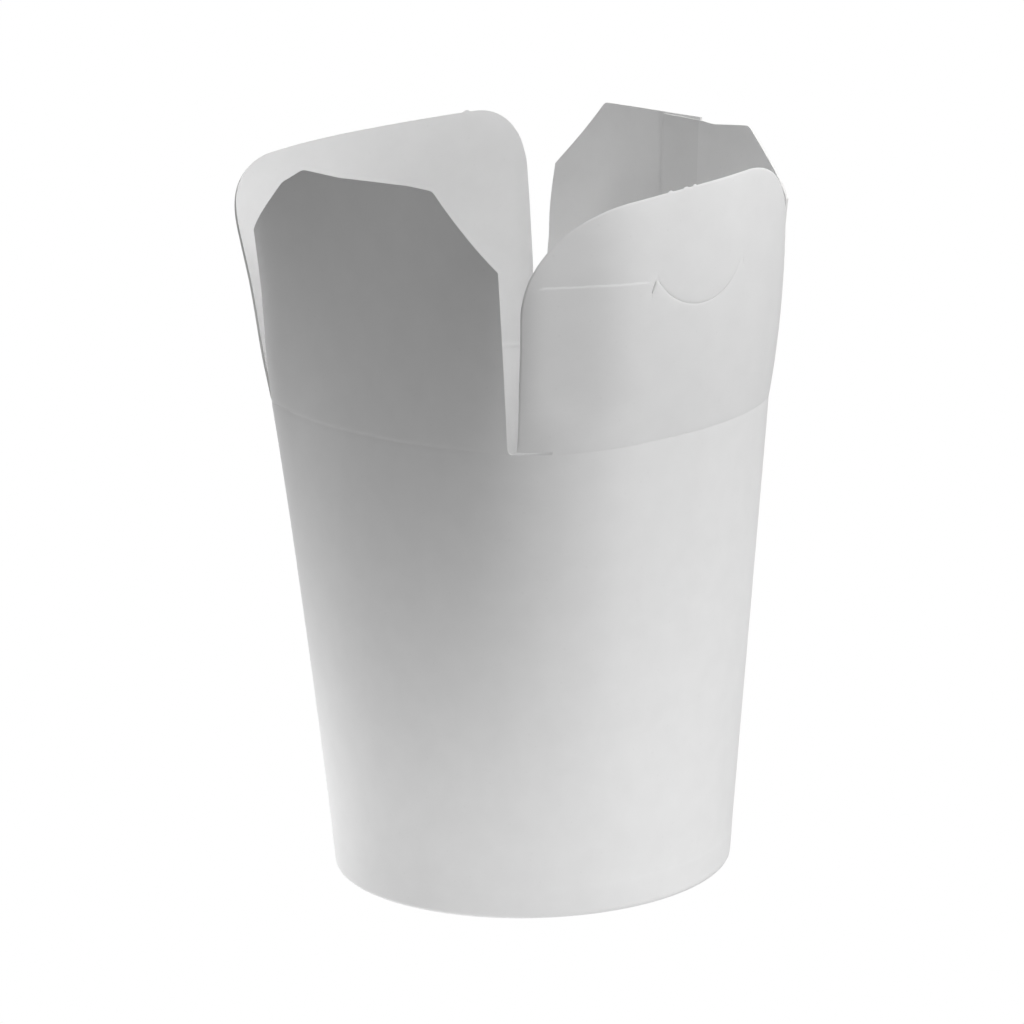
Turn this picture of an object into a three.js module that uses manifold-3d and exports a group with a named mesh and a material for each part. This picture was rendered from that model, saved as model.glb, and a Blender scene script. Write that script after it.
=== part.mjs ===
// Round-based noodle box of folded white paperboard, open and empty.
// Millimetres, +Z up. The origin is on the ground under the middle of the whole outline, and
// the cup's own axis stands beside it, because the open flaps lean out unevenly.
// The lid flaps face -Y and +Y, the tuck flaps -X and +X, and the glued side seam is on +X.
import * as THREE from 'three';
import { mergeVertices } from 'three/addons/utils/BufferGeometryUtils.js';
import Module from 'manifold-3d';

// The cup's axis
const AXIS_X = -2.4;
const AXIS_Y = 2;

// Paperboard, and the room kept between pieces that touch
const BOARD = 0.5;
const CLEARANCE = 0.3;

// Cone wall: round at the base, squarer at the mouth, where the flaps' creases pull it straight
const BASE_RADIUS = 43;
const CREASE_HEIGHT = 102.1;
const SLIT_RADIUS = 52.4;
const TUCK_SIDE_REACH = 43.8;
const LID_SIDE_REACH = 50;
const CORNER_SOFTNESS = 1.5;
const WALL_COLUMNS = 96;
const WALL_ROWS = 5;

// Foot: the wall's edge folded in and up as a hem that grips the skirt of the recessed base
const HEM_HEIGHT = 6.2;
const BASE_HEIGHT = 6.6;
const SKIRT_FOOT = 0.8;
const FOLD_ROUNDING = 0.5;

// Slits between the flaps, and the gap that stands for each crease
const SLIT_HALF_GAP = 0.35;
const CREASE_HALF_GAP = 0.15;

// Glued side seam: a lap of two boards, and the step where their top edges don't line up
const SEAM_ANGLES = [-11.4, 3];
const SEAM_FOOT = 8;
const SEAM_STEP = 1.6;
const SEAM_STEP_RUN = 1.6;

// Side faces of the mouth, in degrees round from +X
const SIDES = [
  { facing: 0, reach: TUCK_SIDE_REACH },
  { facing: 90, reach: LID_SIDE_REACH },
  { facing: 180, reach: TUCK_SIDE_REACH },
  { facing: 270, reach: LID_SIDE_REACH }
];

// Each flap's lean is outward travel per millimetre of height, at its middle and at its side
// edges, and skew is added at its left edge, seen from inside, and taken off at its right one.
// Fan is the travel that widens it, and curl bends it back as it rises.
const TUCK_LEFT = {
  name: 'tuck_flap_left', facing: 180, height: 52.6, shoulder: 38.1, topShare: 0.565,
  middleLean: -0.04, edgeLean: 0.093, skew: 0, fan: 0.022, curl: 0, seamStep: 0
};
const TUCK_RIGHT = {
  name: 'tuck_flap_right', facing: 0, height: 54.3, shoulder: 40.4, topShare: 0.649,
  middleLean: 0.068, edgeLean: 0.206, skew: 0, fan: -0.034, curl: 0, seamStep: SEAM_STEP
};
const LID_FRONT = {
  name: 'lid_flap_front', facing: 270, height: 52.6, rounding: 22.6, bow: 0.3, slope: 0.0576,
  middleLean: 0.216, edgeLean: 0.208, skew: 0, fan: 0.044, curl: -0.0029
};
const LID_BACK = {
  name: 'lid_flap_back', facing: 90, height: 52.5, rounding: 15.8, bow: 0.6, slope: -0.063,
  middleLean: -0.081, edgeLean: 0.096, skew: 0.105, fan: 0.06, curl: 0.0001
};
const FLAP_ROWS = 8;

const radians = THREE.MathUtils.degToRad;
const flapSpan = radians(45) - SLIT_HALF_GAP / SLIT_RADIUS;
const flapHalfWidth = SLIT_RADIUS * Math.sin(flapSpan);

const board = (color) => new THREE.MeshStandardMaterial({ color, roughness: 0.75, metalness: 0 });
const outerBoard = board(0xededed);
const innerBoard = board(0xe6e6e6);

// A mouth side is an arc through the two sharp corners and the middle of the side.
function sideArc(reach) {
  const corner = (SLIT_RADIUS + CORNER_SOFTNESS * Math.LN2) * Math.SQRT1_2;
  const rise = reach - corner;
  const radius = (corner * corner + rise * rise) / (2 * rise);
  return { radius, inset: radius - reach };
}

// The four arcs meet in soft corners, by a smooth minimum of their distances from the axis.
function mouthRadius(angle) {
  let sum = 0;
  for (const side of SIDES) {
    const { radius, inset } = sideArc(side.reach);
    const turn = angle - radians(side.facing);
    const across = inset * Math.sin(turn);
    const distance = Math.sqrt(radius * radius - across * across) - inset * Math.cos(turn);
    sum += Math.exp(-distance / CORNER_SOFTNESS);
  }
  return -CORNER_SOFTNESS * Math.log(sum);
}

function wallRadius(angle, height) {
  const rise = height / CREASE_HEIGHT;
  return BASE_RADIUS + (mouthRadius(angle) - BASE_RADIUS) * rise;
}

// Moves every vertex of a geometry to where place(x, y, z) puts it, and merges shared vertices.
function reshape(geometry, place) {
  geometry.deleteAttribute('normal');
  geometry.deleteAttribute('uv');
  const position = geometry.attributes.position;
  for (let i = 0; i < position.count; i++) {
    const point = place(position.getX(i), position.getY(i), position.getZ(i));
    position.setXYZ(i, point.x, point.y, point.z);
  }
  return mergeVertices(geometry, 1e-4);
}

// A profile turned about Z: its radii are set out on the round base and follow the wall above.
function turned(profile, follow) {
  const geometry = new THREE.LatheGeometry(profile, WALL_COLUMNS);
  geometry.rotateX(Math.PI / 2);
  return reshape(geometry, (x, y, z) => {
    const radius = Math.hypot(x, y);
    const angle = Math.atan2(y, x);
    const moved = follow(radius, wallRadius(angle, z));
    return new THREE.Vector3(moved * Math.cos(angle), moved * Math.sin(angle), z);
  });
}

const skirtDepth = BOARD + CLEARANCE;
const hemDepth = skirtDepth + BOARD + CLEARANCE;

function wallProfile() {
  const at = (depth, height) => new THREE.Vector2(BASE_RADIUS - depth, height);
  const top = CREASE_HEIGHT - CREASE_HALF_GAP;
  const inner = hemDepth + BOARD;
  const rows = [];
  for (let i = 1; i <= WALL_ROWS; i++) {
    rows.push(HEM_HEIGHT + (top - HEM_HEIGHT) * i / WALL_ROWS);
  }
  const bevel = FOLD_ROUNDING * (1 - Math.SQRT1_2);
  return [
    at(FOLD_ROUNDING, 0),
    at(bevel, bevel),
    at(0, FOLD_ROUNDING),
    at(0, HEM_HEIGHT),
    ...rows.map((height) => at(0, height)),
    ...rows.toReversed().map((height) => at(BOARD, height)),
    at(BOARD, HEM_HEIGHT),
    at(BOARD, BOARD),
    at(hemDepth, BOARD),
    at(hemDepth, HEM_HEIGHT),
    at(inner, HEM_HEIGHT),
    at(inner, FOLD_ROUNDING),
    at(inner - bevel, bevel),
    at(inner - FOLD_ROUNDING, 0),
    at(FOLD_ROUNDING, 0)
  ];
}

function baseProfile() {
  const outside = BASE_RADIUS - skirtDepth;
  const inside = outside - BOARD;
  const top = BASE_HEIGHT + BOARD;
  return [
    new THREE.Vector2(0, BASE_HEIGHT),
    new THREE.Vector2(inside, BASE_HEIGHT),
    new THREE.Vector2(inside, SKIRT_FOOT),
    new THREE.Vector2(outside, SKIRT_FOOT),
    new THREE.Vector2(outside, top - BOARD / 2),
    new THREE.Vector2(outside - BOARD / 2, top),
    new THREE.Vector2(0, top)
  ];
}

// Point of a flap's outer face: across runs from -1 to 1 between the slits, rise is the
// distance up the board from the crease.
function flapPoint(flap, across, rise) {
  const facing = radians(flap.facing);
  const turn = across * flapSpan;
  const radius = mouthRadius(facing + turn);
  const bend = (flap.edgeLean - flap.middleLean) * across * across;
  const lean = flap.middleLean + bend + flap.skew * across;
  const fan = flap.fan * across;
  const out = radius * Math.cos(turn) + rise * lean + flap.curl * rise * rise;
  const side = radius * Math.sin(turn) + rise * fan;
  const up = CREASE_HEIGHT + rise * Math.sqrt(1 - lean * lean - fan * fan);
  return new THREE.Vector3(
    out * Math.cos(facing) - side * Math.sin(facing),
    out * Math.sin(facing) + side * Math.cos(facing),
    up
  );
}

// Unit vector from the flap's outer face towards its inner face.
function flapInward(flap, across, rise) {
  const step = 0.01;
  const sideways = flapPoint(flap, across + step, rise).sub(flapPoint(flap, across - step, rise));
  const upward = flapPoint(flap, across, rise + step).sub(flapPoint(flap, across, rise - step));
  return upward.cross(sideways).normalize();
}

// A flap of board: columns are the places across that it is divided at, crown(across) is the
// height of its top edge, and it fills the depths between near and far behind its outer face.
function bentBoard(flap, columns, crown, near, far) {
  const last = columns.length - 1;
  const geometry = new THREE.BoxGeometry(last, 1, 1, last, FLAP_ROWS, 1);
  return reshape(geometry, (x, y, z) => {
    const across = columns[Math.round(x + last / 2)];
    const rise = THREE.MathUtils.lerp(CREASE_HALF_GAP, crown(across), y + 0.5);
    const depth = THREE.MathUtils.lerp(far, near, z + 0.5);
    return flapPoint(flap, across, rise).addScaledVector(flapInward(flap, across, rise), depth);
  });
}

// Divides each stretch between two stops into its own count of equal columns.
function spread(stops, counts) {
  const columns = [stops[0]];
  counts.forEach((count, stretch) => {
    for (let i = 1; i <= count; i++) {
      columns.push(THREE.MathUtils.lerp(stops[stretch], stops[stretch + 1], i / count));
    }
  });
  return columns;
}

const seamAcross = SEAM_ANGLES.map((angle) => radians(angle) / flapSpan);
const seamStepAcross = seamAcross[0] - SEAM_STEP_RUN / flapHalfWidth;

// Tuck flap: straight top edge and two chamfers; past the seam its top edge steps down.
function tuckCrown(flap) {
  return (across) => {
    const chamfer = Math.max(0, Math.abs(across) - flap.topShare) / (1 - flap.topShare);
    const level = flap.height - chamfer * (flap.height - flap.shoulder);
    const side = THREE.MathUtils.smoothstep(across, seamStepAcross, seamAcross[0]);
    return level + flap.seamStep * (side - 0.5);
  };
}

function tuckGeometry(flap) {
  const top = flap.topShare;
  const columns = flap.seamStep > 0
    ? spread([-1, -top, seamStepAcross, seamAcross[0], top, 1], [5, 3, 2, 6, 5])
    : spread([-1, -top, top, 1], [5, 10, 5]);
  return bentBoard(flap, columns, tuckCrown(flap), 0, BOARD);
}

// Lid flap: both top corners rounded, its top edge bowed and sloping to one side.
function lidGeometry(flap) {
  const round = 1 - flap.rounding / flapHalfWidth;
  const crown = (across) => {
    const past = Math.min(1, Math.max(0, Math.abs(across) - round) / (1 - round));
    const corner = flap.rounding * (1 - Math.sqrt(1 - past * past));
    const bow = flap.bow * Math.max(0, 1 - (across / round) ** 2);
    return (flap.height - corner + bow) * (1 + flap.slope * flapHalfWidth * across / flap.height);
  };
  const corner = [];
  for (let degrees = 0; degrees < 90; degrees += 15) {
    corner.push(round + (1 - round) * Math.cos(radians(degrees)));
  }
  const middle = spread([-round, round], [8]);
  const columns = [...corner.map((across) => -across), ...middle, ...corner.toReversed()];
  return bentBoard(flap, columns, crown, 0, BOARD);
}

// The second board of the lap, sunk half into the first so that they join as one.
function wallLapGeometry() {
  const columns = spread(SEAM_ANGLES, [6]);
  const last = columns.length - 1;
  const geometry = new THREE.BoxGeometry(last, 1, 1, last, WALL_ROWS, 1);
  return reshape(geometry, (x, y, z) => {
    const angle = radians(columns[Math.round(x + last / 2)]);
    const height = THREE.MathUtils.lerp(SEAM_FOOT, CREASE_HEIGHT - CREASE_HALF_GAP, y + 0.5);
    const radius = wallRadius(angle, height) - THREE.MathUtils.lerp(2 * BOARD, BOARD / 2, z + 0.5);
    return new THREE.Vector3(radius * Math.cos(angle), radius * Math.sin(angle), height);
  });
}

function flapLapGeometry(flap) {
  const crown = (across) => tuckCrown(flap)(across) - SEAM_STEP;
  return bentBoard(flap, spread(seamAcross, [6]), crown, BOARD / 2, 2 * BOARD);
}

const wasm = await Module();
wasm.setup();

function solid(geometry) {
  return new wasm.Manifold(new wasm.Mesh({
    numProp: 3,
    vertProperties: new Float32Array(geometry.attributes.position.array),
    triVerts: new Uint32Array(geometry.index.array)
  }));
}

function joined(first, second) {
  const mesh = solid(first).add(solid(second)).getMesh();
  const geometry = new THREE.BufferGeometry();
  geometry.setAttribute('position', new THREE.BufferAttribute(mesh.vertProperties, 3));
  geometry.setIndex(new THREE.BufferAttribute(mesh.triVerts, 1));
  return geometry;
}

const box = new THREE.Group();
box.position.set(AXIS_X, AXIS_Y, 0);

function addPiece(name, geometry, material) {
  geometry.computeVertexNormals();
  const piece = new THREE.Mesh(geometry, material);
  piece.name = name;
  box.add(piece);
}

const wall = turned(wallProfile(), (radius, wallAt) => radius + wallAt - BASE_RADIUS);
addPiece('side_wall', joined(wall, wallLapGeometry()), outerBoard);
const base = turned(baseProfile(), (radius, wallAt) => radius * wallAt / BASE_RADIUS);
addPiece('base_disc', base, innerBoard);
addPiece(TUCK_LEFT.name, tuckGeometry(TUCK_LEFT), outerBoard);
const seamedFlap = joined(tuckGeometry(TUCK_RIGHT), flapLapGeometry(TUCK_RIGHT));
addPiece(TUCK_RIGHT.name, seamedFlap, outerBoard);
for (const flap of [LID_FRONT, LID_BACK]) {
  addPiece(flap.name, lidGeometry(flap), outerBoard);
}

export default box;
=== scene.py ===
import math
from types import SimpleNamespace

import bpy
import numpy as np
from bpy.props import FloatProperty, FloatVectorProperty, PointerProperty
from bpy.types import Operator, Panel, PropertyGroup
from mathutils import Matrix, Vector, noise
from mathutils.geometry import delaunay_2d_cdt


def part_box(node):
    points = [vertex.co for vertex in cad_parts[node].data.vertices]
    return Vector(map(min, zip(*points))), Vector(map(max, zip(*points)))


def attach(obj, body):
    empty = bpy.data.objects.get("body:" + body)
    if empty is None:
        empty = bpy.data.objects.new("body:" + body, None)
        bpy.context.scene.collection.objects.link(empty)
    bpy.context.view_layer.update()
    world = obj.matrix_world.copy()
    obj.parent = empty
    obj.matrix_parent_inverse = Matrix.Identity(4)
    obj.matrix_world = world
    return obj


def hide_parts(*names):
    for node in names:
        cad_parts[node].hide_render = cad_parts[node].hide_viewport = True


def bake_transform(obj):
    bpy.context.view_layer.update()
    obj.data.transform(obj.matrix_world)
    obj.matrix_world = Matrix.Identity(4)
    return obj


bl_info = {
    "name": "Noodle Box",
    "version": (1, 0, 0),
    "blender": (4, 5, 0),
    "location": "View3D > Sidebar > Noodle Box",
    "description": "Builds an open round-based noodle box of folded board, piece by piece",
    "category": "Add Mesh",
}

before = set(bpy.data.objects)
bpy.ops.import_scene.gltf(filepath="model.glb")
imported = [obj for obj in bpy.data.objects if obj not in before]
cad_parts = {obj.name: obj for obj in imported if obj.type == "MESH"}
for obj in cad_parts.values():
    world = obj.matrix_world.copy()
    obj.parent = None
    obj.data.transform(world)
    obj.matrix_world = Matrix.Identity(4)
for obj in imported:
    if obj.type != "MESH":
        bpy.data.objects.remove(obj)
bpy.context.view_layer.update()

MM = 0.001

# Foot of the wall: its edge folds in and up as a hem that grips the skirt of the base
HEM_HEIGHT = 6.2
FOLD_RADIUS = 0.9
SKIRT_FOOT = 0.8
CLEARANCE = 0.3
# Ring pressed into the base: how far from its rim, and how deep. Rounding of that rim.
RING_PLACE = 3.2
RING_DEPTH = 0.12
RIM_ROUNDING = 0.5
# Heights of the mesh's rows inside the hem
HEM_ROWS = (2.5, 4.3, HEM_HEIGHT)
# How far the board's face lies behind the nominal one, which only the hem reaches, and the
# height over which it steps back above the hem
FACE_INSET = 0.06
HEM_FADE = 1.2

# Glued side seam: the lap lies between two angles from +X, and past it the inner board
# eases back out to the face of the wall. Below its foot the lap fades into the hem.
SEAM_ANGLES = (-11.4, 3.0)
SEAM_EASE_ANGLE = 11.0
SEAM_FOOT = 8.0
GLUE_GAP = 0.02
# Width of the step at each edge of the lap
LAP_STEP = 0.03

# Where the mouth's front corner is softest and where it is fullest, as angles from +X, over
# which angles that fades, and how far up the flaps it stays soft
FRONT_CORNER = 228
FRONT_CORNER_SPREAD = 20
FRONT_BULGE = 246
FRONT_BULGE_SPREAD = 11.5
FRONT_FADE = 12
# The corner on the left as the camera sees it stands out near the crease only: its angle,
# its spread, the power of the height by which it grows up the wall, and the two rises
# between which it goes back on the flaps
LEFT_CORNER = 135
LEFT_CORNER_SPREAD = 9
LEFT_CORNER_GROWTH = 4
LEFT_CORNER_FADE = (6, 28)

# Slits between the flaps
SLIT_HALF_GAP = 0.35
SLIT_ANGLES = (45, 135, 225, 315)

# How strongly the crease is pressed, by the angle round the mouth
CREASE_STRENGTH = (
    (-180, 1.0), (-152, 1.0), (-143, 0.45), (-136, 0.1), (-118, 0.1), (-98, 0.2),
    (-70, 0.3), (-45, 0.4), (45, 0.8), (180, 1.0),
)
# How far below the folds the pressed line runs, by the same angle
CREASE_DROP = ((-180, 0.62), (-170, 0.62), (-160, 0.4), (-152, 0.2), (-146, 0), (140, 0),
               (150, 0.65), (158, 0.84), (168, 0.8), (180, 0.62))
# Rises above the crease, and drops below it, where the mesh has rows
FOOT_ROWS = (0.15, 0.3, 0.45, 0.65, 0.9, 1.25, 1.7, 2.4, 3.4)

# Lean is outward travel for each millimetre of height, at a flap's middle and at its sides.
# Skew adds to it at the left side, seen from inside, fan widens the flap and curl bends it.
# Flare is how far the right end stands out. A side strays from its nominal line: at each
# height, how far outward it lies.
STRAIGHT = ((0, 0),)
TUCK_LEFT = SimpleNamespace(
    piece="tuck_left_board", node="tuck_flap_left", body="tuck_left", facing=180,
    middle_lean=-0.04, edge_lean=0.093, skew=0, fan=0.022, curl=0, flare=0, top_share=0.565,
    left_stray=((0, -0.95), (38, 0)), right_stray=STRAIGHT,
)
TUCK_RIGHT = SimpleNamespace(
    piece="tuck_right_board", node="tuck_flap_right", body="tuck_right", facing=0,
    middle_lean=0.068, edge_lean=0.206, skew=0, fan=-0.034, curl=0, flare=0, top_share=0.649,
    left_stray=((2, 0), (10, -0.9), (19, -1.4), (25, -1), (31, -0.25), (36, 0)),
    right_stray=STRAIGHT,
)
LID_FRONT = SimpleNamespace(
    piece="lid_front_board", node="lid_flap_front", body="lid_front", facing=270,
    middle_lean=0.216, edge_lean=0.208, skew=0, fan=0.044, curl=-0.0029, flare=0.9,
    bow=0.3, slope=0.0576, left_stray=STRAIGHT, right_stray=((3, 0), (15, 0.3), (32, 0)),
)
LID_BACK = SimpleNamespace(
    piece="lid_back_board", node="lid_flap_back", body="lid_back", facing=90,
    middle_lean=-0.081, edge_lean=0.096, skew=0.105, fan=0.06, curl=0.0001, flare=0,
    bow=0.6, slope=-0.063, left_stray=STRAIGHT,
    right_stray=((0, 0), (5, 0.3), (10, 0.8), (14, 1.1), (18, 1.14), (31.9, 0), (44, -1.2)),
)
# Over which share of a flap's half width its flare fades, and the rise where it is full
FLARE_SPREAD = 0.17
FLARE_RISE = 10
# Rounding of a slit's foot, and of the corners of the tuck flaps
SLIT_ROUNDING = 1.0
CORNER_ROUNDING = 0.9
# How far the inner face stops short of the outer at the cut edge of the left tuck and the
# front lid, and how far it reaches past it on the back lid
EDGE_SLANT = 0.32
BACK_SLANT = 0.12
# How much lower the inner side of the wall's cut edge is in the front slit, by the angle,
# and how far down the wall that reaches
LIP_DROP = ((-180, 0), (-142, 0), (-140, 0.32), (-127, 0.32), (-125, 0), (180, 0))
LIP_REACH = 1.25

# Lock of the front lid: a tongue cut as an arc, a short cut beside each end, and a score
TONGUE_CENTRE = (0.4, 40.65)
TONGUE_RADIUS = 12.4
TONGUE_SWEEP = (-61.5, 66.5)
LEFT_CUT = ((-12.1, 32.1), (-11.0, 34.8))
RIGHT_CUT = ((13.0, 33.8), (12.45, 35.8))
FRONT_SCORE = ((-32.7, 35.7), (-22.3, 35.35), (-13.3, 34.8))
# How far beside a score the board comes back out, and half the width of a pressed cut
SCORE_RECOVERY = 2.5
CUT_GROOVE = 0.25
# The crease of the front lid is cut right through from the slit to here, and stands open
CREASE_CUT_END = -30.3
CREASE_CUT_WIDTH = 0.62
# Where the front lid's edge starts to roll over, and by how much less it does at the top
ROLL_FOOT = 1.5
ROLL_LOSS = 0.3
ROLL_LOSS_RISES = (40, 52)
# Broken ties that the cutting die leaves on a free edge: place along it, width and height
FRONT_TIES = ((-6.6, 0.9, 0.3), (-2.8, 1.1, 0.24), (-0.6, 0.8, 0.3))
BACK_TIES = ((-21.6, 1.4, 0.35),)

# Slow waves in the board: the length of each, and its share of the ripple. They come in
# between two heights above the foot.
RIPPLES = ((24, 1), (8, 0.35))
RIPPLE_FOOT = (2, 12)

# Spacing of the mesh over a sheet, which share of it stays free beside a line, and the
# spacing along lines and up the free sides. Distances to a line are taken at a finer one.
GRID = 1.6
GRID_CLEARANCE = 0.6
LINE_STEP = 0.7
SIDE_STEP = 2.5
FINE_STEP = 0.2
# Points of a lid's rounded corner and of its top edge, and how far below the corner the
# points of its side end
ROUNDING_POINTS = 24
CROWN_POINTS = 120
SIDE_GAP = 0.5
# Columns round the wall and the base. The wall has extra ones on both sides of a corner of
# the mouth, a step apart in degrees, and others keep their distance from those.
WALL_COLUMNS = 240
BASE_COLUMNS = 192
CORNER_COLUMNS = 9
CORNER_STEP = 0.5
COLUMN_ROOM = 0.7
# Rows up the wall, and the heights of those over the hem
BODY_ROWS = 34
HEM_OUTER_ROWS = (5.0, 3.5, 2.2, 1.4)
# Faces that meet at more than this have a sharp edge between them
SHARP_ANGLE = math.radians(38)
# Smaller differences than these count as none, in a height and between two places
SAME_HEIGHT = 1e-6
SAME_PLACE = 1e-4

# The board's surface: how fibres and rubs are drawn out along it, the cloudy part of the
# grain and the grain's depth in millimetres
FIBRE_STRETCH = (1.0, 0.35, 1.0)
RUB_SCALE = (260.0, 18.0, 1.0)
CLOUD_RELIEF = 0.25
GRAIN_DEPTH = 0.02
# Its dark flecks, how far the grain and the rubs change its roughness, and its shine
FLECK_STRENGTH = 0.06
FLECK_COLOUR = (0.35, 0.34, 0.33, 1)
SMOOTHEST = -0.05
ROUGHEST = 0.06
RUB_POLISH = -0.05
SHINE = 0.35

# Camera: on a circle round the cup's axis, and how its view is turned from level and ahead.
# The turn round the axis is in degrees, and the view's own angles are in radians.
CAMERA_TURN = -43.172
CAMERA_DISTANCE = 897.06
CAMERA_HEIGHT = 307.86
CAMERA_YAW = -0.0029
CAMERA_PITCH = -0.2520
CAMERA_ROLL = -0.0257

# Lights: name, azimuth and elevation in degrees, distance, size and aimed height in metres,
# and the property with the power. Azimuth is anticlockwise from the camera's side.
LIGHTS = (
    ("main light", 65, 62, 1.5, 0.8, 0.08, "main_power"),
    ("front light", 30, 45, 1.5, 0.8, 0.08, "front_power"),
    ("side light", 90, 10, 0.7, 0.5, 0, "side_power"),
    ("left rear light", -130, 20, 1.5, 0.8, 0.08, "left_rear_power"),
    ("right rear light", 160, 45, 1.5, 0.8, 0.08, "right_rear_power"),
)

# Floor: half its side in metres. It glows more or less by the distance from the box, one way
# at the front left and another at the rear right as the camera sees it, which lie that many
# degrees round from its left and right. Each pair is a distance in metres and a strength.
FLOOR_HALF = 6.0
GLOW_TURN = 25
GLOW_REACH = 0.4
LEFT_GLOW = ((0.06, 1.26), (0.09, 1.8), (0.135, 2.0), (0.17, 0.3), (0.3, 0.25), (0.36, 0))
RIGHT_GLOW = ((0.06, 0.56), (0.09, 0.5), (0.14, 0.5), (0.17, 0.8), (0.27, 0.8), (0.34, 0))


def length(name, description, millimetres, smallest=0.0):
    """A length that the user can change, given in millimetres and kept in metres."""
    return FloatProperty(
        name=name, description=description, default=millimetres * MM, min=smallest * MM,
        unit="LENGTH", subtype="DISTANCE", precision=4,
    )


def colour(name, description, value):
    """A colour that the user can change, as linear red, green and blue."""
    return FloatVectorProperty(
        name=name, description=description, default=value, size=3, min=0, max=1,
        subtype="COLOR",
    )


def power(name, description, watts):
    """Power of a light that the user can change."""
    return FloatProperty(
        name=name, description=description, default=watts, min=0, unit="POWER",
    )


class CupSizes(PropertyGroup):
    """Sizes of the cup under the flaps."""

    base_radius: length("Base radius", "Outside of the round foot", 43.0, 20)
    crease_height: length("Crease height", "Height of the mouth, where the flaps begin", 102.1, 30)
    slit_radius: length("Corner distance", "From the axis to the slits in the mouth", 52.4, 20)
    tuck_reach: length("Tuck side reach", "From the axis to a tuck flap's crease", 43.8, 20)
    lid_reach: length("Lid side reach", "From the axis to a lid flap's crease", 50.0, 20)
    corner_softness: length("Corner softness", "How gently the mouth turns its corners", 1.5, 0.2)
    front_softness: length("Front softness", "The same for the corner at the front", 5.0, 0.2)
    left_bulge: length("Left bulge", "How far the corner on the left stands out", 0.9)
    front_bulge: length("Front bulge", "How much fuller the mouth is beside the front corner", 1.4)
    base_height: length("Base height", "Height of the recessed base above the ground", 6.6, 2)


class FlapSizes(PropertyGroup):
    """Sizes of the four flaps."""

    left_tuck_height: length("Left tuck height", "From crease to top edge", 52.6, 10)
    left_tuck_shoulder: length("Left tuck shoulder", "Height where its corners are cut", 38.1, 5)
    right_tuck_height: length("Right tuck height", "From crease to top edge", 54.97, 10)
    right_tuck_shoulder: length("Right tuck shoulder", "Height where its corners are cut", 41.1, 5)
    front_lid_height: length("Front lid height", "From crease to top edge", 52.6, 10)
    front_lid_rounding: length("Front lid rounding", "Radius of its two corners", 22.6, 2)
    back_lid_height: length("Back lid height", "From crease to top edge", 52.5, 10)
    back_lid_rounding: length("Back lid rounding", "Radius of its two corners", 14.0, 2)


class BoardSizes(PropertyGroup):
    """Thickness of the board, and how deep it is creased, scored and cut."""

    thickness: length("Board thickness", "Thickness of the paperboard", 0.5, 0.2)
    crease_depth: length("Crease depth", "Depth of the pressed line at a flap's foot", 0.11)
    crease_width: length("Crease width", "Half width of that line", 0.55, 0.05)
    score_depth: length("Score depth", "How far the board steps in at a score", 0.13)
    score_width: length("Score width", "Half width of that step", 0.3, 0.05)
    cut_width: length("Cut width", "Width of the cuts in the front lid", 0.04, 0.02)
    cut_depth: length("Cut depth", "How far the board is pressed in along a cut", 0.09)
    edge_rounding: length("Edge rounding", "How far the front lid rolls over at its edge", 0.45)
    edge_drop: length("Edge drop", "How much lower its face is at the very edge", 0.16)
    ripple: length("Ripple", "How far the board waves in and out", 0.05)


class Finish(PropertyGroup):
    """Colours and grain of the board."""

    outer_colour: colour("Outer face", "Colour of the printed side", (0.83, 0.83, 0.83))
    inner_colour: colour("Inner face", "Colour of the lined side", (0.81, 0.81, 0.81))
    edge_colour: colour("Cut edge", "Colour of the raw cut edge", (0.78, 0.78, 0.77))
    # Painted shade: the lined side is darker where two sheets are glued, because less light comes
    # through two sheets than through one
    doubled_shade_colour: colour(
        "Glued seam shade", "Painted shade of the lined side where two sheets are glued", (0.76, 0.76, 0.76)
    )
    mottle: FloatProperty(
        name="Mottle", description="How much the white varies over the board",
        default=0.025, min=0, max=0.3, subtype="FACTOR",
    )
    grain: FloatProperty(
        name="Grain", description="How strongly the fibres show in the surface",
        default=0.5, min=0, max=1, subtype="FACTOR",
    )


class Studio(PropertyGroup):
    """Floor, lights and camera."""

    floor_colour: colour("Floor", "Colour that the camera sees round the box", (1.0, 1.0, 1.0))
    floor_glow: FloatProperty(
        name="Floor glow", description="Strength of the light that the floor throws up",
        default=0.93, min=0,
    )
    main_power: power("Main light", "Power of the high light on the right", 9.1)
    front_power: power("Front light", "Power of the light beside the camera", 10.0)
    side_power: power("Side light", "Power of the low light on the right", 2.0)
    left_rear_power: power("Left rear light", "Power of the light behind on the left", 15.0)
    right_rear_power: power("Right rear light", "Power of the light behind on the right", 14.6)
    focal_length: FloatProperty(
        name="Focal length", description="Of the camera's lens, in millimetres",
        default=152.14, min=10, unit="CAMERA",
    )


class NoodleBox(PropertyGroup):
    """Everything about the box that the sidebar shows."""

    cup: PointerProperty(type=CupSizes)
    flaps: PointerProperty(type=FlapSizes)
    board: PointerProperty(type=BoardSizes)
    finish: PointerProperty(type=Finish)
    studio: PointerProperty(type=Studio)


def in_millimetres(group):
    """A property group's lengths as plain numbers in millimetres."""
    found = [p.identifier for p in group.bl_rna.properties if p.type == "FLOAT"]
    return SimpleNamespace(**{name: getattr(group, name) / MM for name in found})


def all_sizes():
    """The cup's, flaps' and board's sizes in millimetres, and what follows from them."""
    box = bpy.context.scene.noodle_box
    sizes = SimpleNamespace(
        cup=in_millimetres(box.cup), flaps=in_millimetres(box.flaps),
        board=in_millimetres(box.board),
    )
    sizes.flap_span = math.radians(45) - SLIT_HALF_GAP / sizes.cup.slit_radius
    sizes.half_width = sizes.cup.slit_radius * math.sin(sizes.flap_span)
    return sizes


def cup_axis():
    """Where the cup's own axis stands, in metres: under the middle of the round base."""
    low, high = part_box("base_disc")
    return Vector(((low.x + high.x) / 2, (low.y + high.y) / 2, 0))


def smooth(value, start, end):
    """Rises smoothly from 0 at start to 1 at end."""
    share = np.clip((value - start) / (end - start), 0, 1)
    return share * share * (3 - 2 * share)


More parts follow.
